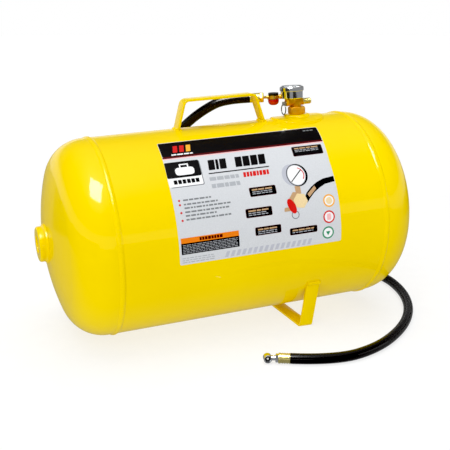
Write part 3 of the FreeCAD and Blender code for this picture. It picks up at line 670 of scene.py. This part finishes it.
def dial_number(text, angle, place):
    """One number of the dial, upright, centred at an angle."""
    curve = bpy.data.curves.new("number", "FONT")
    curve.body = text
    curve.size = 3.0 * MM
    curve.extrude = 0.02 * MM
    curve.align_x = "CENTER"
    curve.align_y = "CENTER"
    source = bpy.data.objects.new("number", curve)
    data = bpy.data.meshes.new_from_object(source)
    mesh = bmesh.new()
    mesh.from_mesh(data)
    reach = 7.3 * MM
    shift = Matrix.Translation((reach * math.cos(angle), reach * math.sin(angle), -0.87 * MM))
    mesh.transform(place @ shift)
    finish_piece("dial_number_" + text, mesh, "tank", DIAL_BLACK)
    bpy.data.objects.remove(source)
    bpy.data.curves.remove(curve)
    bpy.data.meshes.remove(data)


def dial_marks():
    """The print of the dial: 0 to 200 over three quarters of a turn, red at the high end."""
    place = joint_place("gauge_pointer_turn")
    low, high = -0.9 * MM, -0.85 * MM
    full = math.radians(270)
    start = math.radians(225)
    divisions = 40
    marks = []
    for k in range(divisions + 1):
        inner, width = (9.4, 0.34) if k % 5 == 0 else (10.4, 0.18)
        marks.append(scale_mark(start - full * k / divisions, inner, 11.6, width))
    flat_print("dial_scale", marks, place, low, high, DIAL_BLACK)
    band = []
    for radius, steps in ((12.5, range(31)), (11.9, range(30, -1, -1))):
        for k in steps:
            angle = math.radians(-45 + 2.25 * k)
            band.append(Vector((radius * MM * math.cos(angle), radius * MM * math.sin(angle))))
    flat_print("dial_red_band", [band], place, low, high, DIAL_RED)
    for k in range(5):
        dial_number(str(50 * k), start - full * k / 4, place)


# ---------------------------------------------------------------- straps

def turned(vector, angle):
    c, s = math.cos(angle), math.sin(angle)
    return Vector((vector.x * c - vector.y * s, vector.x * s + vector.y * c))


def strap_rings(points, bend, width, thickness, edge):
    """Sections of a flat bar along (a, b) points with rounded bends, in the (a, b, c) frame."""
    stations = [(points[0], (points[1] - points[0]).normalized())]
    for i in range(1, len(points) - 1):
        back = (points[i] - points[i - 1]).normalized()
        ahead = (points[i + 1] - points[i]).normalized()
        turn = back.angle(ahead)
        reach = bend * math.tan(turn / 2)
        steps = 14
        for k in range(steps + 1):
            t = k / steps
            start = points[i] - back * reach
            hand = math.copysign(1, back.x * ahead.y - back.y * ahead.x)
            swing = hand * turn * t
            centre = start + Vector((-back.y, back.x)) * hand * bend
            stations.append((centre + turned(start - centre, swing), turned(back, swing)))
    stations.append((points[-1], (points[-1] - points[-2]).normalized()))
    w = width / 2 - edge
    h = thickness / 2 - edge
    corners = []
    for sign_w, sign_h, first in ((1, 1, 0), (-1, 1, 90), (-1, -1, 180), (1, -1, 270)):
        for k in range(5):
            a = math.radians(first + 90 * k / 4)
            corners.append((sign_w * w + edge * math.cos(a), sign_h * h + edge * math.sin(a)))
    rings = []
    for point, way in stations:
        side = Vector((-way.y, way.x))
        rings.append([Vector((point.x + side.x * n, point.y + side.y * n, c)) for c, n in corners])
    return rings


def make_handle():
    """The bent strap, wider at its feet, whose ends run a little into the shell."""
    low, high = local_box("handle", TANK)
    thickness = 3.0 * MM
    splay = 10.5 * MM
    root = 1.2 * MM
    middle = (low.x + high.x) / 2
    width = high.y - low.y
    top = high.z - thickness / 2
    foot_half = (high.x - low.x) / 2 - thickness / 2
    top_half = foot_half - splay
    slope = splay / (top - RADIUS)
    points = [
        Vector((middle - foot_half - slope * root, RADIUS - root)),
        Vector((middle - top_half, top)),
        Vector((middle + top_half, top)),
        Vector((middle + foot_half + slope * root, RADIUS - root)),
    ]
    mesh = bmesh.new()
    rings = strap_rings(points, 7.0 * MM, width, thickness, 0.9 * MM)
    skin(mesh, [[TANK @ Vector((p.x, -p.z, p.y)) for p in ring] for ring in rings])
    finish_piece("handle_strap", mesh, "tank", YELLOW, ("handle",))


# ---------------------------------------------------------------- label

# Places on the label: x in mm along the tank, a in degrees from the tank's top to the front.
LABEL_TOP = RADIUS + 0.15 * MM
LAYER = 0.04 * MM
DEGREE = RADIUS * math.pi / 180
LABEL_LEFT = -101.0
LABEL_RIGHT = 104.0
LABEL_FIRST = 21.0
LABEL_LAST = 97.0
SLICE = 1.2 * DEGREE

# Above this angle the sheet leans towards the valve end: by so much for each degree, and by so
# much more for each metre that a point lies to the right.
FLARE_FROM = 50.0
FLARE_PER_DEGREE = 0.19 * MM
FLARE_FAN = 0.00057


def spot(x, a):
    """A point of the flat label, in metres."""
    return Vector((x * MM, a * DEGREE))


def eased(before, corner, after, t):
    """A point of the curve that rounds a corner off, from before to after."""
    return before * (1 - t) ** 2 + corner * 2 * t * (1 - t) + after * t ** 2


def bar(x0, a0, x1, a1, radius=0.0, slant=0.0):
    """A rectangle, which may have round corners and slanted sides."""
    corners = [spot(x0, a0), spot(x1, a0), spot(x1 - slant, a1), spot(x0 - slant, a1)]
    if radius == 0.0:
        return corners
    result = []
    for i, here in enumerate(corners):
        back = (corners[i - 1] - here).normalized() * radius * MM
        ahead = (corners[(i + 1) % 4] - here).normalized() * radius * MM
        result += [eased(here + back, here, here + ahead, k / 5) for k in range(6)]
    return result


def disc(x, a, radius, height=None, turn=0.0, sides=40):
    """A circle, an ellipse or a regular polygon."""
    height = radius if height is None else height
    result = []
    for k in range(sides):
        angle = 2 * math.pi * k / sides
        reach = Vector((radius * MM * math.cos(angle), height * MM * math.sin(angle)))
        result.append(spot(x, a) + turned(reach, math.radians(turn)))
    return result


def arc_band(x, a, outer, inner, first, last, steps=24):
    """Part of a ring, with angles clockwise from the right."""
    result = []
    for radius, order in ((outer, range(steps + 1)), (inner, range(steps, -1, -1))):
        for k in order:
            angle = math.radians(first + (last - first) * k / steps)
            reach = Vector((math.cos(angle), math.sin(angle))) * radius * MM
            result.append(spot(x, a) + reach)
    return result


def words(x0, a0, a1, x1, seed, short=2.0, long=7.0, gap=1.1, radius=0.0, slant=0.0):
    """Plain bars of uneven length that stand where a line of small print would."""
    source = random.Random(seed)
    result = []
    x = x0
    while x < x1 - short / 2:
        end = min(x + source.uniform(short, long), x1)
        result.append(bar(x, a0, end, a1, radius, slant))
        x = end + gap
    return result


def flare(x, y):
    """How far a point of the sheet leans along the tank."""
    above = max(0.0, FLARE_FROM * DEGREE - y) / DEGREE
    return above * (FLARE_PER_DEGREE + FLARE_FAN * x)


def on_tank(outlines, base, top):
    """Closed thin solids that wrap flat outlines round the shell, between two radii."""
    mesh = bmesh.new()
    for outline in outlines:
        mesh.faces.new([mesh.verts.new((p.x, p.y, 0)) for p in outline])
    at = math.ceil(min(v.co.y for v in mesh.verts) / SLICE) * SLICE
    last = max(v.co.y for v in mesh.verts)
    while at < last:
        geometry = mesh.verts[:] + mesh.edges[:] + mesh.faces[:]
        bmesh.ops.bisect_plane(
            mesh, geom=geometry, plane_co=(0, at, 0), plane_no=(0, 1, 0), dist=1e-7)
        at += SLICE
    raised = bmesh.ops.extrude_face_region(mesh, geom=mesh.faces[:])["geom"]
    for vertex in (item for item in raised if isinstance(item, bmesh.types.BMVert)):
        vertex.co.z = 1.0
    for vertex in mesh.verts:
        radius = base + (top - base) * vertex.co.z
        along = vertex.co.x + flare(vertex.co.x, vertex.co.y)
        vertex.co = shell_point(along, vertex.co.y / RADIUS, radius)
    return mesh


def printed(name, ink, layer, outlines):
    """Ink on the label. Each layer lies on the one below it."""
    base = LABEL_TOP + LAYER * (layer - 1)
    mesh = on_tank(outlines, base, base + LAYER)
    finish_piece(name, mesh, "tank", INKS[ink])


def make_label():
    sheet = bar(LABEL_LEFT, LABEL_FIRST, LABEL_RIGHT, LABEL_LAST, 2.5)
    mesh = on_tank([sheet], RADIUS, LABEL_TOP)
    finish_piece("label_sheet", mesh, "tank", INKS["paper"], ("label",))
    label_header()
    label_size_box()
    label_heading()
    label_list()
    label_notice()
    label_callouts()
    label_badges()
    label_picture()
    slats = [bar(x, 92.9, x + 4.2, 96.2, 0.5, 2.6) for x in range(-44, 68, 7)]
    printed("label_silver_slats", "silver", 1, slats)


def label_header():
    printed("label_header", "black", 1, [bar(-100.6, 21.4, 103.6, 33.8, 2.0)])
    printed("label_header_edge", "dark_red", 1, [bar(-100.6, 33.8, 103.6, 35.2)])
    printed("label_header_line", "pink", 1, [bar(-100.6, 35.2, 103.6, 35.9)])
    printed("label_mark", "red", 2, [bar(x, 25.2, x + 5.4, 31.0, 0.5, 2.4) for x in (-84.0, -76.0)])
    printed("label_mark_middle", "amber", 2, [bar(-68.0, 25.2, -62.6, 31.0, 0.5, 2.4)])
    printed("label_mark_words", "white", 2, words(-89.0, 32.2, 33.2, -63.0, 3, 5.0, 9.0, 1.0))
    printed("label_header_words", "grey", 2, words(84.0, 23.6, 24.5, 98.0, 4, 3.0, 6.0))


def label_size_box():
    printed("label_box_shadow", "grey", 1, [bar(-99.5, 38.6, -58.6, 54.6, 2.5)])
    printed("label_box_foot", "white", 2, [bar(-100.9, 38.2, -59.6, 54.1, 2.0)])
    printed("label_box", "black", 3, [bar(-100.9, 38.2, -59.6, 48.8, 2.0)])
    printed("label_box_tank", "white", 4, [
        bar(-90.0, 42.4, -67.0, 47.4, 4.8),
        bar(-84.0, 40.0, -73.0, 40.8, 0.6),
        bar(-84.0, 40.0, -82.4, 42.6),
        bar(-74.6, 40.0, -73.0, 42.6),
    ])
    letters = [bar(x, 50.1, x + 4.2, 52.6, 0.5) for x in (-94.5, -89.2, -83.9, -78.6, -73.3, -68.0)]
    printed("label_box_words", "black", 3, letters)


def label_heading():
    blocks = (
        (-48.5, 8.0), (-39.2, 3.4), (-34.4, 8.2),
        (-15.0, 8.4), (-5.4, 8.6), (4.6, 8.6), (14.6, 8.6),
    )
    printed("label_heading", "black", 1, [bar(x, 39.5, x + w, 46.4, 1.0, 1.2) for x, w in blocks])
    printed("label_underline", "black", 1, [bar(-51.0, 48.1, 25.0, 48.8)])
    lines = words(-51.5, 50.8, 53.0, -12.5, 6, 4.0, 9.0)
    lines += words(-51.0, 55.0, 57.4, -13.0, 8, 4.0, 9.0)
    printed("label_subtitle", "light_grey", 1, lines)
    red_words = words(-9.0, 50.2, 53.2, 25.0, 9, 2.6, 4.2, 0.9, 0.6, 0.8)
    printed("label_subtitle_red", "red", 1, red_words)


def label_list():
    printed("label_dots", "red", 1, [disc(-93.5, a, 1.3) for a in (62.0, 64.4, 68.7, 72.9)])
    rows = (
        (62.0, -55.0), (64.4, -48.0), (66.4, -33.0), (68.6, -34.0), (70.6, -50.0), (72.7, -32.5),
    )
    lines = []
    for number, (a, end) in enumerate(rows):
        lines += words(-88.8, a - 0.45, a + 0.45, end, 20 + number, 2.0, 6.5)
    printed("label_list", "grey", 1, lines)


def label_notice():
    printed("label_notice_bar", "orange", 1, [bar(-98.5, 82.2, -28.0, 85.1)])
    printed("label_notice_panel", "black", 1, [bar(-98.5, 85.1, -28.0, 91.2)])
    printed("label_notice_words", "dark_red", 2, words(-76.0, 82.8, 84.5, -48.0, 31, 2.4, 4.0, 0.7))
    lines = []
    for row in range(6):
        a = 86.0 + 0.85 * row
        lines += words(-96.5, a, a + 0.3, -30.0, 40 + row, 1.5, 6.0, 0.9)
    printed("label_notice_lines", "light_grey", 2, lines)
    small = []
    for row in range(3):
        a = 93.1 + 1.2 * row
        small += words(-98.0, a, a + 0.5, -59.0, 50 + row, 2.0, 6.0)
    printed("label_small_lines", "light_grey", 1, small)


def label_callouts():
    boxes = (
        (60.0, 37.4, 99.0, 43.9), (-7.0, 60.1, 25.7, 64.9), (-16.3, 71.6, 16.0, 76.2),
        (-7.0, 82.3, 25.0, 86.5), (36.8, 85.7, 71.8, 89.2),
    )
    edges = [bar(x0 - 0.5, a0 - 0.24, x1 + 0.5, a1 + 0.24, 1.9) for x0, a0, x1, a1 in boxes]
    printed("label_callout_edges", "dark_red", 1, edges)
    printed("label_callouts", "black", 2, [bar(*box, 1.6) for box in boxes])
    heads = []
    lines = []
    for number, (x0, a0, x1, a1) in enumerate(boxes):
        heads += words(x0 + 3.0, a0 + 0.8, a0 + 1.6, x1 - 4.0, 60 + number, 4.0, 10.0)
        rows = 2 if a1 - a0 > 4.0 else 1
        for row in range(rows):
            a = a0 + 2.2 + 1.05 * row
            lines += words(x0 + 3.0, a, a + 0.45, x1 - 5.0, 70 + 5 * number + row, 2.5, 6.0)
    printed("label_callout_heads", "tan", 3, heads)
    printed("label_callout_lines", "light_grey", 3, lines)


def label_badges():
    spots = (("amber", 91.0, 72.9), ("red", 88.7, 82.0), ("green", 86.5, 91.0))
    for ink, x, a in spots:
        printed("label_badge_" + ink, ink, 1, [disc(x, a, 7.7)])
        printed("label_badge_" + ink + "_middle", "white", 2, [disc(x, a, 5.9)])
    printed("label_badge_amber_mark", "cream", 3, [disc(91.0, 72.9, 4.2)])
    printed("label_badge_red_mark", "pink", 3, [bar(86.0, 80.2, 91.4, 83.8, 1.5)])
    printed("label_badge_green_mark", "green", 3, [disc(86.5, 91.0, 3.4, 3.4, 90.0, 3)])


def label_picture():
    """A plain picture of a gauge with a valve and a hose."""
    x, a = 57.0, 55.8
    printed("picture_gauge_side", "silver", 1, [disc(x - 6.5, a - 0.4, 12.5, 14.0)])
    printed("picture_gauge_rim", "black", 2, [disc(x, a, 13.6, 14.6)])
    printed("picture_gauge_ring", "light_grey", 3, [disc(x - 0.9, a, 11.9, 13.4)])
    printed("picture_gauge_face", "white", 4, [disc(x - 0.9, a, 11.1, 12.6)])
    printed("picture_gauge_arc", "red", 5, [arc_band(x - 0.6, a, 10.0, 8.8, -70, 40)])
    pointer = (47.6, 59.3), (63.4, 52.6), (64.0, 53.2), (48.0, 59.8)
    printed("picture_pointer", "black", 5, [[spot(*point) for point in pointer]])
    printed("picture_neck", "tan", 1, [bar(50.0, 62.3, 57.0, 66.8, 0.8)])
    hose = (
        (60.0, 69.6), (63.8, 66.8), (71.0, 63.9), (79.0, 61.6), (89.0, 59.9), (103.4, 59.1),
        (103.4, 62.4), (90.0, 63.2), (81.6, 65.0), (74.0, 67.2), (67.0, 70.2), (63.0, 72.4),
    )
    printed("picture_hose", "black", 1, [[spot(*point) for point in hose]])
    ferrule = (64.6, 67.6), (75.4, 63.4), (77.4, 65.0), (66.6, 69.4)
    printed("picture_ferrule", "tan", 2, [[spot(*point) for point in ferrule]])
    printed("picture_valve_side", "tan", 2, [disc(x - 7.5, 69.6, 9.4, 9.4, 10.0, 6)])
    printed("picture_valve", "cream", 3, [disc(x - 2.6, 70.8, 9.4, 9.6, 10.0, 6)])
    printed("picture_ring", "grey", 1, [arc_band(45.4, 78.2, 5.0, 4.0, 0, 360, 48)])
    printed("picture_knob_stem", "tan", 4, [bar(32.5, 73.6, 41.0, 75.8, 1.4, 1.0)])
    printed("picture_knob", "red", 5, [disc(42.2, 73.2, 4.6, 9.6, -22.0)])


# ---------------------------------------------------------------- surroundings

FLOOR_SIZE = 900.0
BACKDROP_RADIUS = 12.0

# The world's light by height: (place on a scale from 0.1 below the horizon to 1 overhead, level).
SKY_FROM = -0.1
SKY = (
    (0.0, 0.3), (0.06, 0.3), (0.07, 1.0), (0.27, 1.0),
    (0.345, 0.16), (0.6, 0.18), (0.86, 0.5), (1.0, 0.7),
)

FLAG_CENTRE = Vector((0.085, 0.0))
FLAG_REACH = 0.85
FLAG_HEIGHTS = (0.002, 0.17)
FLAG_ARCS = ((-221, -135), (-101, -53), (-13, 109))

BLACK_LEVEL = 0.014


def staged(name, mesh, material):
    """Turn a bmesh into an object of the set, which is no part of the tank."""
    data = bpy.data.meshes.new(name)
    mesh.to_mesh(data)
    mesh.free()
    data.materials.append(material)
    piece = bpy.data.objects.new(name, data)
    bpy.context.scene.collection.objects.link(piece)
    return piece


def make_floor():
    mesh = bmesh.new()
    bmesh.ops.create_grid(mesh, x_segments=8, y_segments=8, size=FLOOR_SIZE)
    floor = staged("floor", mesh, floor_material())
    floor.visible_glossy = False


def make_sky():
    """A studio's light: bright round the horizon and overhead, dark between and below."""
    world = bpy.data.worlds.new("studio")
    bpy.context.scene.world = world
    world.use_nodes = True
    tree = world.node_tree
    way = add(tree, "ShaderNodeTexCoord").outputs["Generated"]
    height = add(tree, "ShaderNodeSeparateXYZ", {"Vector": way}).outputs["Z"]
    inputs = {"Value": height, "From Min": SKY_FROM, "From Max": 1.0}
    scale = add(tree, "ShaderNodeMapRange", inputs).outputs["Result"]
    ramp = add(tree, "ShaderNodeValToRGB", {"Fac": scale})
    while len(ramp.color_ramp.elements) < len(SKY):
        ramp.color_ramp.elements.new(0.5)
    for element, (place, level) in zip(ramp.color_ramp.elements, SKY):
        element.position = place
        element.color = grey(level)
    background = tree.nodes["Background"]
    tree.links.new(ramp.outputs["Color"], background.inputs["Color"])
    background.inputs["Strength"].default_value = 1.0


def make_backdrop():
    """A white dome that only the camera sees, so the sky's dark parts never show behind."""
    mesh = bmesh.new()
    bmesh.ops.create_uvsphere(mesh, u_segments=64, v_segments=32, radius=BACKDROP_RADIUS)
    backdrop = staged("backdrop", mesh, backdrop_material())
    backdrop.visible_diffuse = False
    backdrop.visible_glossy = False
    backdrop.visible_transmission = False
    backdrop.visible_shadow = False


def make_flags():
    """Low black boards round the set, which the camera doesn't see, only bare metal does."""
    mesh = bmesh.new()
    steps = 12
    for first, last in FLAG_ARCS:
        rows = []
        for k in range(steps + 1):
            angle = math.radians(first + (last - first) * k / steps)
            foot = FLAG_CENTRE + Vector((math.cos(angle), math.sin(angle))) * FLAG_REACH
            rows.append([mesh.verts.new((foot.x, foot.y, height)) for height in FLAG_HEIGHTS])
        for a, b in zip(rows, rows[1:]):
            mesh.faces.new((a[0], b[0], b[1], a[1]))
    flags = staged("flags", mesh, BLACK)
    flags.visible_camera = False
    flags.visible_diffuse = False
    flags.visible_shadow = False


def aim(light, place, target):
    """Put a lamp in place and turn it to the target."""
    light.location = place
    light.rotation_euler = (Vector(target) - Vector(place)).to_track_quat("-Z", "Y").to_euler()
    bpy.context.scene.collection.objects.link(light)


def gloss_panel(name, place, target, size, power):
    """A panel that shows only as a highlight."""
    data = bpy.data.lights.new(name, "AREA")
    data.shape = "RECTANGLE"
    data.size, data.size_y = size
    data.energy = power
    panel = bpy.data.objects.new(name, data)
    panel.visible_diffuse = False
    aim(panel, place, target)


def soft_sun(name, place, power, width_deg):
    """Even light from one side, without a highlight of its own."""
    data = bpy.data.lights.new(name, "SUN")
    data.energy = power
    data.angle = math.radians(width_deg)
    sun = bpy.data.objects.new(name, data)
    sun.visible_glossy = False
    aim(sun, place, (0, 0, 0))


def make_surroundings():
    make_floor()
    make_sky()
    make_backdrop()
    make_flags()
    gloss_panel("glint", (-0.50, -0.52, 1.30), (-0.12, -0.05, 0.16), (0.6, 0.6), 30.0)
    soft_sun("overhead", (0.05, 0.1, 1.0), 1.5, 50)
    soft_sun("front", (-0.5, -0.75, 0.75), 1.3, 40)
    view = bpy.context.scene.view_settings
    view.view_transform = "Standard"
    view.use_curve_mapping = True
    view.curve_mapping.black_level = (BLACK_LEVEL, BLACK_LEVEL, BLACK_LEVEL)
    view.curve_mapping.update()


make_camera()
make_hose()
make_surroundings()
paint_frame()
girth_weld("left_seam_bead", -SEAM, "left_girth_weld")
girth_weld("right_seam_bead", SEAM, "right_girth_weld")
handle_weld_beads()
port_weld_beads()
machined_pieces()
inlet_valve()
valve_knob()
dial_marks()
make_handle()
make_label()
